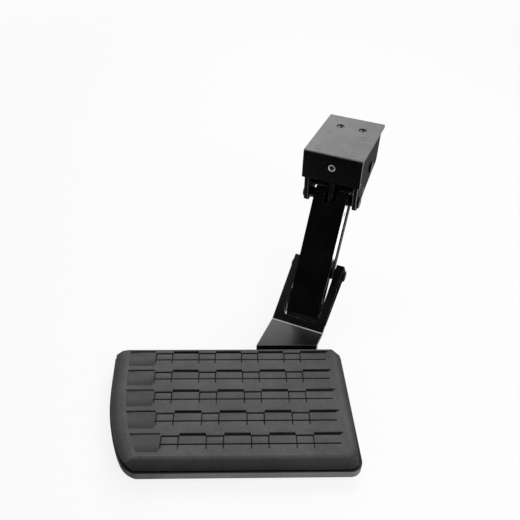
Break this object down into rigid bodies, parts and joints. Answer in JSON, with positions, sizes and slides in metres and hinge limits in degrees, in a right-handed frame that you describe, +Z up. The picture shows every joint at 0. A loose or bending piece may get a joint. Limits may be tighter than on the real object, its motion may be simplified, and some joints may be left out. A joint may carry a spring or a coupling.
{
  "type": "retractable bumper step",
  "caption": "Fold-away vehicle step: a bolted hood and ears carry parallel arms that swing a level, askew tread pad out from under the bumper and back.",
  "frame": {"origin": "midway between the two top bolt holes, on the hood's top face", "axes": "+X to the right along the pivots, -Y out towards the user, +Z up"},
  "size_m": [0.3821, 0.5417, 0.2846],
  "materials": {
    "hood_paint": "satin powder coat",
    "black_paint": "gloss powder coat",
    "zinc": "zinc plated",
    "pin_steel": "black oxide",
    "spring_steel": "oiled",
    "bush_liner": "filled bearing plastic",
    "stop_rubber": "matte",
    "tread_moulding": "fine moulded grain",
    "tray_moulding": "moulded"
  },
  "bodies": {
    "mount": {"mount_hood": "hood_paint", "left_side_plate": "black_paint", "right_side_plate": "black_paint", "top_weld_nuts": "zinc", "front_weld_nut": "zinc", "front_pivot_studs": "pin_steel", "front_pivot_spacers": "pin_steel", "rear_pivot_pin": "pin_steel", "rear_pivot_clip": "pin_steel", "rear_pivot_spacers": "pin_steel", "stop_studs": "pin_steel", "stop_sleeves": "stop_rubber", "spring_anchor_pin": "pin_steel"},
    "front_arm": {"front_arm": "black_paint", "front_upper_bushes": "bush_liner", "front_lower_bushes": "bush_liner", "spring_arm_pin": "pin_steel"},
    "rear_arm": {"rear_arm": "black_paint", "rear_upper_bushes": "bush_liner", "rear_lower_bushes": "bush_liner"},
    "spring": {"hold_spring": "spring_steel"},
    "step": {"step_bracket": "black_paint", "left_pivot_lug": "black_paint", "right_pivot_lug": "black_paint", "front_lower_pin": "pin_steel", "rear_lower_pin": "pin_steel", "rear_lower_clip": "pin_steel", "rear_lower_spacers": "pin_steel", "step_base": "tray_moulding", "tread_pad": "tread_moulding", "pad_bolts": "zinc", "pad_washers": "zinc", "tread_screws": "zinc"}
  },
  "joints": [
    {"name": "arm_swing", "type": "hinge", "parent": "mount", "child": "front_arm", "pos_m": [0, -0.074, -0.08], "axis": [1, 0, 0], "range_deg": [0, 96], "deforming": ["hold_spring"]},
    {"name": "rear_arm_swing", "type": "hinge", "parent": "mount", "child": "rear_arm", "pos_m": [0, -0.0198, -0.04778], "axis": [1, 0, 0], "range_deg": [0, 96]},
    {"name": "step_level", "type": "hinge", "parent": "front_arm", "child": "step", "pos_m": [0, -0.1607, -0.23201], "axis": [1, 0, 0], "range_deg": [-96, 0]},
    {"name": "spring_swing", "type": "hinge", "parent": "mount", "child": "spring", "pos_m": [0, -0.075, -0.052], "axis": [1, 0, 0], "range_deg": [0, 41.75], "deforming": ["hold_spring"]}
  ],
  "couplings": [
    {"joint": "rear_arm_swing", "follows": "arm_swing", "ratio": 1},
    {"joint": "step_level", "follows": "arm_swing", "ratio": -1},
    {"joint": "spring_swing", "follows": "arm_swing", "ratio": 0.4346}
  ]
}
